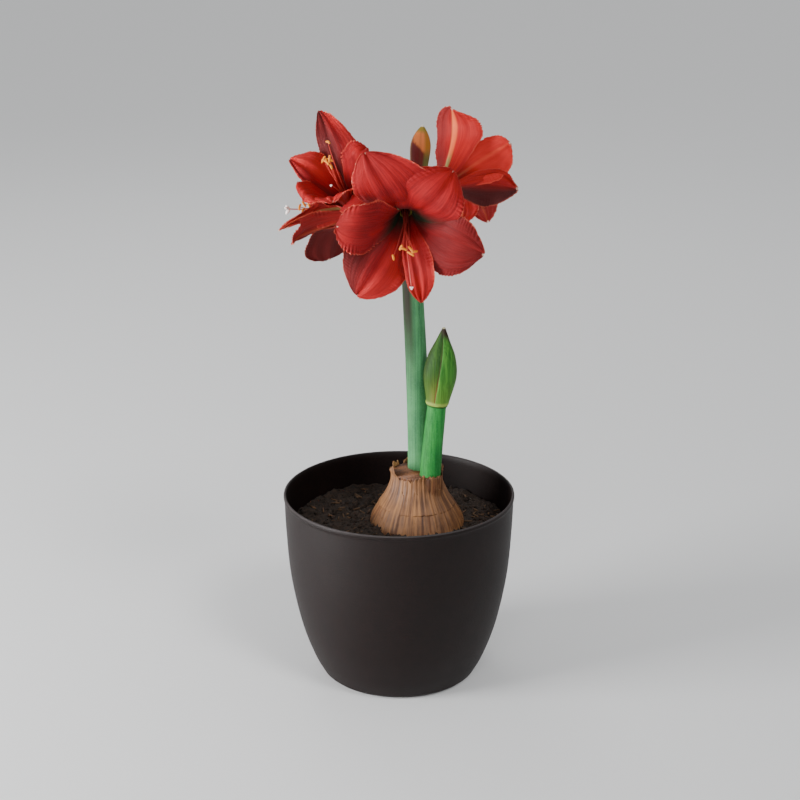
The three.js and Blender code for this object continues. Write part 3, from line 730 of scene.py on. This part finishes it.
tepal_red = Paint(
    "tepal_red",
    {"Subsurface Weight": 0.12, "Subsurface Radius": (0.004, 0.001, 0.0008), "Specular IOR Level": 0.16},
)
along, across, outer_face = tepal_red.stored("blade")
to_edge, to_tip, past_throat_shade = tepal_red.stored("edge")
deep, rib, green = tepal_red.stored("tint_and_shade")
lanes = tepal_red.node("ShaderNodeCombineXYZ", {}, {0: across * 26, 1: along * 1.8, 2: outer_face * 7})
streaks = tepal_red.mottle(1.0, 4.0, 0.65, lanes)
veins = abs(tepal_red.mottle(1.7, 1.0, 0.4, lanes) - 0.5).ramp(0.05, 0.0)
velvet = tepal_red.mottle(900.0, 2.0)
clouds = tepal_red.mottle(38.0, 2.0)
tone = (streaks * 0.75 + clouds * 0.25).ramp(0.36, 0.64)
inside = tepal_red.layered(
    (117, 12, 18),
    (tone, (165, 22, 27)),
    (along.ramp(0.5, 1.0) * (0.1 + 0.6 * clouds), (184, 30, 28)),
    (veins * 0.45, (104, 12, 17)),
    # Painted shade inside the tube, partly the throat's own dark colour: a maroon ring, then a near-black
    # throat.
    (past_throat_shade.ramp(0.2, 0.0) * 0.7, (66, 34, 31)),
    ((past_throat_shade + streaks * 0.12).ramp(0.11, -0.06), (34, 46, 31)),
)
midrib = (abs(across) + streaks * 0.06 - rib * 0.06).ramp(0.14, 0.04) * rib
olive = (along - green * 2).ramp(0.06, -0.1)
outside = tepal_red.layered(
    (148, 20, 24),
    (tone, (188, 38, 34)),
    (veins * 0.45, (146, 17, 20)),
    (midrib, tepal_red.mix(olive, (226, 112, 62), (158, 148, 92))),
    # Painted shade on the back towards the claw.
    (past_throat_shade.ramp(0.06, -0.14) * 0.7, (96, 12, 14)),
    ((along - green).ramp(0.04, -0.14), (128, 122, 54)),
)
# Paler crimped edges, partly their own pale rim and partly painted highlight on the crimps.
pale_rim_and_highlight = (to_edge + streaks).ramp(1.6, 0.6) * along.ramp(0.3, 0.5)
# Specks of painted highlight on the crimps towards the end of the blade.
highlight_specks = tepal_red.mottle(420.0).ramp(0.52, 0.66)
edge_bead_highlights = highlight_specks * to_edge.ramp(1.1, 0.3) * along.ramp(0.6, 0.9) * 0.6
tepal_red.coat(
    inside,
    (outer_face, outside),
    # Painted shade towards maroon, and below 0 painted light towards coral.
    (deep, (72, 22, 22)),
    (0.0 - deep, (224, 54, 47)),
    (pale_rim_and_highlight * (0.2 + 0.5 * clouds), (234, 98, 74)),
    (edge_bead_highlights, (240, 176, 150)),
    (to_tip.ramp(2.0, 0.8), (236, 190, 170)),
)
tepal_red.feed("Roughness", 0.5 + velvet * 0.2)
tepal_red.relief(streaks * 0.55 + velvet * 0.25 - veins * 0.2, 0.5)

tube_profile = [
    (TUBE_INNER, 0), (TUBE_OUTER - 1, 0), (TUBE_OUTER, 2), (TUBE_OUTER, TUBE_LENGTH - 1),
    (TUBE_OUTER - 0.6, TUBE_LENGTH), (TUBE_INNER, TUBE_LENGTH),
]
tube = turned(tube_profile, TUBE_SIDES)
# It is marked as the foot of a blade is, off its midrib and far from its edges.
tube_marks = np.zeros((len(tube), TUBE_SIDES, 9)) + (0, 0.5, 0, 9, 99, 0, 0, 0, 0.2)
tube_marks[1:5, :, 2] = 1

for bloom in BLOOMS:
    axes = bloom_axes(bloom)
    tepals = Piece()
    tepals.add_rings(set_on_bloom(axes, tube), marks=tube_marks, ends="hoop")
    for whorl, blades in (("inner", bloom.inner), ("outer", bloom.outer)):
        for tepal in blades:
            rings, marks = tepal_blade(axes, whorl, tepal, bloom.grid)
            tepals.add_rings(rings, marks=marks, ends="across")
    tepals.make(f"tepals_{bloom.name}", [tepal_red], f"bloom_{bloom.name}")

# ---- stems ----
# The main stem is thick, fleshy and hollow in life, with a bluish bloom on its green that turns brownish
# high up on one side, partly its own blush and partly painted shade. Its head splits into a stalk for each
# bloom, with a three-sided ovary under the tube.

UMBEL = np.array([10.5, 8, 430])
# Height from the umbel's middle, radius.
HEAD = [(-9, 8.6), (-7, 9.4), (-5, 10.6), (-2, 11.2), (1, 11), (4, 9.6), (6.5, 6.8), (7.9, 3)]
STALK_RADIUS = 3.2
OVARY_LENGTH = 16
OVARY_TOP = 4.9
STEM_SIDES = 72
HEAD_SIDES = 60
OVARY_SIDES = 42
STALK_SIDES = 28
YOUNG_BUD_FOOT = np.array([17.5, 15, 478])


def tube_along(line, radii, sides, lobes=0, lobe_depth=0.0):
    """Rings of a tube along a line of points, and their marks: height in mm, facing left, facing forward."""
    line = np.asarray(line, float)
    tangents = np.gradient(line, axis=0)
    tangents /= np.linalg.norm(tangents, axis=1, keepdims=True)
    side = np.cross(tangents[0], (0.31, 0.95, 0.02))
    angle = all_round(sides)
    reach = 1 + lobe_depth * np.cos(lobes * angle)
    rings = []
    facing = []
    for tangent in tangents:
        side = side - tangent * (side @ tangent)
        side /= np.linalg.norm(side)
        facing.append(np.outer(np.cos(angle), side) + np.outer(np.sin(angle), np.cross(tangent, side)))
    facing = np.array(facing)
    rings = line[:, None] + facing * (np.asarray(radii)[:, None] * reach)[..., None]
    marks = np.concatenate([rings[..., 2:], -facing[..., :2], np.zeros_like(facing)], axis=-1)
    return rings, marks


def add_tube(piece, line, radii, sides, lobes, lobe_depth):
    """Adds a closed tube along a line, its section ribbed with so many lobes of a depth."""
    rings, marks = tube_along(line, radii, sides, lobes, lobe_depth)
    piece.add_rings(rings, marks=marks)


stem_greens = []
for stem_name, dark_green, light_green, dusty_green, blush_and_shade in (
    ("main_stem_green", (40, 94, 54), (78, 144, 88), (108, 158, 128), 1.0),
    ("second_stem_green", (18, 96, 32), (48, 136, 56), (70, 150, 94), 0.0),
):
    green = Paint(stem_name, {"Specular IOR Level": 0.2})
    height, leftward, _ = green.stored("blade")
    fibres = green.fibres(700, 9)
    blotches = green.mottle(40.0)
    dust = green.mottle(1400.0, 2.0)
    # Brownish high up on the left, and less so on the stalks, partly the stem's own blush and partly painted
    # shade on the left, away from the key light.
    brown_blush_and_shade = (leftward + fibres * 0.3).ramp(-0.1, 0.6) - leftward.ramp(0.75, 1) * 0.15
    brown_blush_and_shade = brown_blush_and_shade * (height.ramp(255, 370) - height.ramp(412, 434) * 0.7) * blush_and_shade
    green.coat(
        dark_green,
        ((fibres * 0.6 + blotches * 0.4).ramp(0.34, 0.66), light_green),
        (dust.ramp(0.4, 0.75) * 0.35, dusty_green),
        (brown_blush_and_shade, (30, 27, 14)),
    )
    green.feed("Roughness", 0.55 + fibres * 0.2)
    green.relief(fibres, 0.25)
    stem_greens.append(green)

main_stem = Piece()
main_line = smooth_line(MAIN_ROUTE, 20)
add_tube(main_stem, main_line, np.linspace(*MAIN_RADII, len(main_line)), STEM_SIDES, 2, 0.03)
above_umbel, head_radii = np.transpose(HEAD)
add_tube(main_stem, UMBEL + np.outer(above_umbel, (0, 0, 1)), head_radii, HEAD_SIDES, 5, 0.04)
for bloom in BLOOMS:
    base, _, _, out = bloom_axes(bloom)
    neck = base - out * OVARY_LENGTH
    leave = UMBEL + (neck - UMBEL) * 0.25
    leave[2] = UMBEL[2] + (neck[2] - UMBEL[2]) * 0.2 + 12
    path, _ = bezier([UMBEL, leave, base - out * (OVARY_LENGTH + 10), neck], np.linspace(0, 1, 40))
    add_tube(main_stem, path, [STALK_RADIUS] * len(path), STALK_SIDES, 3, 0.03)
    share = np.linspace(0, 1, 26)
    ovary_line = neck - out + np.outer(share, out * (OVARY_LENGTH + 0.8))
    ovary_radii = STALK_RADIUS - 0.2 + (OVARY_TOP - STALK_RADIUS) * share + 2 * np.sin(math.pi * share) ** 1.2
    add_tube(main_stem, ovary_line, ovary_radii, OVARY_SIDES, 3, 0.07)
to_bud = YOUNG_BUD_FOOT - UMBEL
corners = [UMBEL, UMBEL + to_bud * 0.35, UMBEL + to_bud * 0.7 + (1, 1, 0), YOUNG_BUD_FOOT]
path, _ = bezier(corners, np.linspace(0, 1, 30))
add_tube(main_stem, path, [STALK_RADIUS] * len(path), STALK_SIDES, 3, 0.03)
main_stem.make("main_stem_and_stalks", [stem_greens[0]], "flower_stem")

second_stem = Piece()
second_line = smooth_line(SECOND_ROUTE, 24)
add_tube(second_stem, second_line, np.linspace(*SECOND_RADII, len(second_line)), STEM_SIDES, 2, 0.03)
second_stem.make("second_stem_stalk", [stem_greens[1]], "second_stem")

# ---- stamens and styles ----
# Each bloom has six thin filaments with a curved anther, thick with orange pollen, balanced on the tip, and
# a longer style that ends in a small pale stigma of three lobes.

# The anthers and the stigma of each bloom: right, up and out from the bottom of its tube. The last number is
# how far the stigma has opened.
STAMENS = {
    "front": (
        [(-2, -6, 63), (0, -7, 64), (6, -8, 62), (9, -12, 60), (-9, -18, 58), (6, -13, 61)],
        (7, -41, 70), 0.7,
    ),
    "upper_left": (
        [(-5, 10, 70), (0, 6, 72), (4, 4, 69), (-2, 12, 66), (3, 9, 74), (-6, 26, 72)],
        (7, -11, 62), 0.4,
    ),
    "lower_left": (
        [(12, 10, 66), (8, 2, 64), (11, 7, 70), (2, 3, 60), (13, 8, 61), (13, 4, 67)],
        (8, 5, 80), 2.1,
    ),
    "right": (
        [(-4, -8, 62), (1, -6, 65), (5, -9, 63), (8, -12, 60), (-7, -13, 59), (0, -12, 66)],
        (3, -22, 80), 0.8,
    ),
}
PLUG_RADIUS = 3.3
FILAMENT_FOOT = 2.1  # how far from the axis each filament stands on the plug
FILAMENT_RADII = (0.7, 0.35)
STYLE_RADII = (0.8, 0.5)
ANTHER_LENGTH = 7
LOBE_LENGTH = 2.2
PLUG_SIDES, THREAD_SIDES, ANTHER_SIDES = 24, 10, 12
FILAMENT, POLLEN, STIGMA = 0, 1, 2  # which of the three materials

filament_red = Paint("filament_red", {"Roughness": 0.45})
_, toward_tip, _ = filament_red.stored("blade")
filament_red.coat((104, 22, 24), (toward_tip, (192, 62, 54)))
pollen_orange = Paint("pollen_orange", {"Roughness": 0.9})
pollen_grains = pollen_orange.mottle(1500.0, 2.0)
pollen_orange.coat((206, 92, 8), (pollen_grains, (246, 166, 46)))
pollen_orange.relief(pollen_grains, 0.4)
stigma_pale = Paint("stigma_pale", {"Roughness": 0.6, "Base Color": srgb(250, 236, 230)})


def add_thread(stamens, axes, line, radii, sides, paint):
    """Adds a round thread along a line in a bloom's own directions, dark at its foot, lighter to its tip."""
    rings, marks = tube_along(line, radii, sides)
    marks[..., 1] = np.clip(rings[..., 2] / 50, 0, 1)
    stamens.add_rings(set_on_bloom(axes, rings), paint, marks)


for bloom in BLOOMS:
    axes = bloom_axes(bloom)
    anthers, stigma, opened = STAMENS[bloom.name]
    stamens = Piece()
    add_thread(stamens, axes, [(0, 0, 0.2), (0, 0, 4)], [PLUG_RADIUS] * 2, PLUG_SIDES, FILAMENT)
    for number, tip in enumerate(np.array(anthers, float)):
        angle = math.radians(30 + number * 60)
        foot = np.array((FILAMENT_FOOT * math.cos(angle), FILAMENT_FOOT * math.sin(angle), 2))
        sag = (tip[0] * 0.9, tip[1] * 0.9 - 5, tip[2] * 0.8)
        line, _ = bezier([foot, (foot[0] * 1.6, foot[1] * 1.6, 26), sag, tip], np.linspace(0, 1, 30))
        add_thread(stamens, axes, line, np.linspace(*FILAMENT_RADII, len(line)), THREAD_SIDES, FILAMENT)
        lie = np.array((math.cos(angle * 2.3), math.sin(angle * 1.7), 0.3))
        lie = lie / np.linalg.norm(lie) * ANTHER_LENGTH / 2
        ends = np.linspace(-1, 1, 15)
        anther = tip + np.outer(ends, lie) + np.outer(0.4 - ends**2, (0, 1.0, 0.6))
        add_thread(stamens, axes, anther, 0.25 + 0.8 * (1 - ends**4) ** 0.5, ANTHER_SIDES, POLLEN)
    tip = np.array(stigma, float)
    corners = [(0, 0, 2), (0, 0, 26), (tip[0] * 0.4, tip[1] * 0.4, tip[2] * 0.8), tip]
    line, _ = bezier(corners, np.linspace(0, 1, 40))
    add_thread(stamens, axes, line, np.linspace(*STYLE_RADII, len(line)), THREAD_SIDES, FILAMENT)
    for turn in (30, 150, 270):
        away = np.array((math.cos(math.radians(turn)), math.sin(math.radians(turn)), 0.8))
        share = np.linspace(0, 1, 8)
        lobe = tip + np.outer(share * LOBE_LENGTH * opened, away)
        swell = 0.5 + 0.5 * opened * np.sin(share * 3)
        add_thread(stamens, axes, lobe, swell, THREAD_SIDES, STIGMA)
    paints = [filament_red, pollen_orange, stigma_pale]
    stamens.make(f"stamens_and_style_{bloom.name}", paints, f"stamens_{bloom.name}")

# ---- young bud ----
# The umbel's last bud, on its own stalk. Its folded tepals are maroon below, pale brown above and olive at
# their edges.

YOUNG_BUD_PATH = [(17.5, 15, 478.3), (18.5, 17.5, 505), (21.5, 20, 530)]
YOUNG_BUD_RADII = [(0, 3.4), (0.12, 5.6), (0.26, 7.8), (0.58, 9.4), (0.75, 8.2), (0.88, 5.2), (1, 0.8)]
YOUNG_BUD_SIDES = 96


def smooth_radii(stops, share):
    """Radii at each share of the length, on a smooth line through (share, radius) stops."""
    line = smooth_line(stops, 12)
    return np.interp(share, line[:, 0], line[:, 1])


share = np.linspace(0, 1, 80)
bud_line, _ = bezier(YOUNG_BUD_PATH, share)
rings, marks = tube_along(bud_line, smooth_radii(YOUNG_BUD_RADII, share), YOUNG_BUD_SIDES)
bud_angle = all_round(YOUNG_BUD_SIDES)
groove = np.abs(np.sin((bud_angle * 3 + share[:, None] * 1.2) / 2)) ** 0.35
rings = bud_line[:, None] + (rings - bud_line[:, None]) * (0.93 + 0.07 * groove)[..., None]
marks[..., 3] = share[:, None]
marks[..., 4] = groove

bud_maroon = Paint("bud_maroon", {"Roughness": 0.55, "Specular IOR Level": 0.25})
_, bud_left, _ = bud_maroon.stored("blade")
bud_along, bud_ridge, _ = bud_maroon.stored("edge")
fibres = bud_maroon.fibres(600, 25)
rightward = fibres * 0.2 - bud_left
pale_top = (bud_along + rightward * 0.16 + fibres * 0.1).ramp(0.62, 0.7)
gold = bud_maroon.mix(bud_along.ramp(0.4, 0.65), (92, 84, 34), (160, 98, 30))
bud_maroon.coat(
    (72, 14, 18),
    (fibres, (118, 32, 28)),
    (pale_top * 0.9, (208, 112, 54)),
    (rightward.ramp(0.3, 0.65), gold),
    (rightward.ramp(-0.7, -0.9), (150, 104, 60)),
    (bud_ridge.ramp(0.7, 0.4) * 0.25, (110, 60, 36)),
    (bud_along.ramp(0.84, 0.93), (132, 110, 38)),
    (bud_along.ramp(0.965, 0.99), (226, 216, 200)),
)
bud_maroon.relief(fibres, 0.3)

young_bud = Piece()
young_bud.add_rings(rings, marks=marks)
young_bud.make("young_bud_tepals", [bud_maroon], "young_bud")

# ---- second bud ----
# The second umbel, still shut in two green sheath leaves. One leaf laps over the other along a slanting
# seam, with a reddish edge, and they grow from the stem in a pale, slightly swollen ring.

SHEATH_TIP = np.array([41, -10, 349])
SHEATH_LENGTH = 76
SHEATH_FLAT = 0.77  # its depth, as a share of its width
SHEATH_RADII = [(0, 9.8), (0.04, 10.4), (0.12, 11), (0.42, 15), (0.66, 12.6), (0.86, 5.8), (1, 0.8)]
SHEATH_SIDES = 144
SHEATH_GAP = 0.35  # between the foot of the bud and the top of its stem
SEAM_FOOT = 250  # degrees round the bud, from +X towards +Y
SEAM_TURN = 27  # how many more at its tip
LAP_RISE = 0.75  # how far the upper leaf stands off the lower one

share = np.linspace(0, 1, 120)
below, stem_end = np.array(SECOND_ROUTE[-2:], float)
lean = (stem_end - below) / np.linalg.norm(stem_end - below)
seat = stem_end + lean * SHEATH_GAP
sheath_line, tangents = bezier([seat, seat + lean * SHEATH_LENGTH * 0.42, SHEATH_TIP], share)
right = np.array([1.0, 0, 0]) - tangents * tangents[:, :1]
right /= np.linalg.norm(right, axis=1, keepdims=True)
back = np.cross(tangents, right)
angle = all_round(SHEATH_SIDES)
seam = np.radians(SEAM_FOOT + SEAM_TURN * share**0.6)[:, None]
past_seam = (angle[None, :] - seam + math.pi) % (2 * math.pi) - math.pi
over_lap = step(past_seam, 0, 0.06) * (1 - step(past_seam, 2.2, 3.0))
lap = LAP_RISE * over_lap * step(share, 0.02, 0.12)[:, None]
foot_ring = 0.35 * np.exp(-(((share - 0.05) / 0.02) ** 2))[:, None]
wide = smooth_radii(SHEATH_RADII, share)[:, None] + lap + foot_ring + 0.07 * np.cos(angle * 36)
deep = wide * (1 + (SHEATH_FLAT - 1) * step(share, 0, 0.3))[:, None]
sideways = right[:, None] * (np.cos(angle) * wide)[..., None]
rings = sheath_line[:, None] + sideways + back[:, None] * (np.sin(angle) * deep)[..., None]
marks = np.stack(np.broadcast_arrays(share[:, None], past_seam, np.cos(angle)), axis=-1)

sheath_green = Paint("sheath_green", {"Roughness": 0.6, "Specular IOR Level": 0.2})
sheath_along, past, rightward = sheath_green.stored("blade")
fibres = sheath_green.fibres(800, 12)
broad = sheath_green.mottle(1.0, 2.0, 0.5, sheath_green.place((220, 220, 8)))
tone = (fibres * 0.5 + broad * 0.5).ramp(0.35, 0.65)
left_leaf = sheath_green.mix(tone, (18, 52, 6), (44, 84, 14))
right_leaf = sheath_green.mix(tone, (34, 92, 26), (78, 142, 50))
low = sheath_along.ramp(0.55, 0.05)
tan_band = past.ramp(-0.7, -0.25) * past.ramp(0.0, -0.08)
seam_red = sheath_green.mix(sheath_along.ramp(0.2, 0.5), (98, 36, 14), (50, 50, 20))
seam_line = (abs(past + 0.02) + fibres * 0.03).ramp(0.085, 0.03)
# Painted shade on both flanks, where the sheath turns away to the left and right.
flank_shade = (abs(rightward) + fibres * 0.2).ramp(0.8, 1.1) * sheath_along.ramp(0.25, 0.5)
sheath_green.coat(
    left_leaf,
    (past.ramp(-0.01, 0.01), right_leaf),
    (low * 0.4, (104, 130, 40)),
    (tan_band * low * (0.1 + fibres * 0.4), (126, 98, 40)),
    (seam_line * 0.85, seam_red),
    (flank_shade * 0.6, (44, 56, 18)),
    (sheath_along.ramp(0.09, 0.05) * 0.7, (150, 168, 76)),
    (sheath_along.ramp(0.03, 0.015), (36, 84, 30)),
    ((sheath_along + rightward * 0.05).ramp(0.86, 0.97), (44, 30, 22)),
    (sheath_along.ramp(0.985, 0.995), (190, 186, 150)),
)
sheath_green.relief(fibres, 0.35)

second_bud = Piece()
second_bud.add_rings(rings, marks=marks)
second_bud.make("second_bud_sheath", [sheath_green], "second_bud")

# ---- withered sheath leaves ----
# The two sheath leaves that once closed the main umbel. They are dry, papery and brown, and hang from the
# head of the stem behind the blooms.

LEAF_SEAT = 10.8  # from the axis of the stem's head
LEAF_ROOT = 418
LEAF_HALF = 7.5
LEAF_THICK = 0.6

withered_brown = Paint("withered_brown", {"Roughness": 0.75})
fibres = withered_brown.fibres(500, 30)
withered_brown.coat((98, 72, 38), (fibres, (172, 142, 92)))
withered_brown.relief(fibres, 0.5)

for leaf_name, facing, length in (("left", 245, 34), ("right", 115, 30)):
    turn = math.radians(facing)
    out = np.array([math.sin(turn), -math.cos(turn), 0])
    side = np.array([math.cos(turn), math.sin(turn), 0])
    s, t = np.meshgrid(np.linspace(-1, 1, 25), np.linspace(0, 1, 51))
    corners = [
        (LEAF_SEAT, LEAF_ROOT), (LEAF_SEAT + 6.5, LEAF_ROOT + 8),
        (LEAF_SEAT + 9.5, LEAF_ROOT + 2), (LEAF_SEAT + 6.5, LEAF_ROOT - length),
    ]
    middle, slope = bezier(corners, t)
    half = LEAF_HALF * (1 - t**2.5) + 0.4
    curl = 0.06 * (s * half) ** 2 - 0.8 * np.sin(6 * t + 3 * s) - 0.35 * np.sin(s * 14 + 4 * t)
    surface = UMBEL * (1, 1, 0) + out * (middle[..., :1] - curl[..., None]) + side * (s * half)[..., None]
    surface[..., 2] = middle[..., 1]
    through = (out * slope[..., 1:] - np.array([0, 0, 1]) * slope[..., :1]) * (LEAF_THICK / 2)
    leaf = Piece()
    leaf.add_rings(np.concatenate([surface + through, (surface - through)[:, ::-1]], axis=1), ends="across")
    leaf.make(f"withered_sheath_{leaf_name}", [withered_brown], f"spathe_leaf_{leaf_name}")
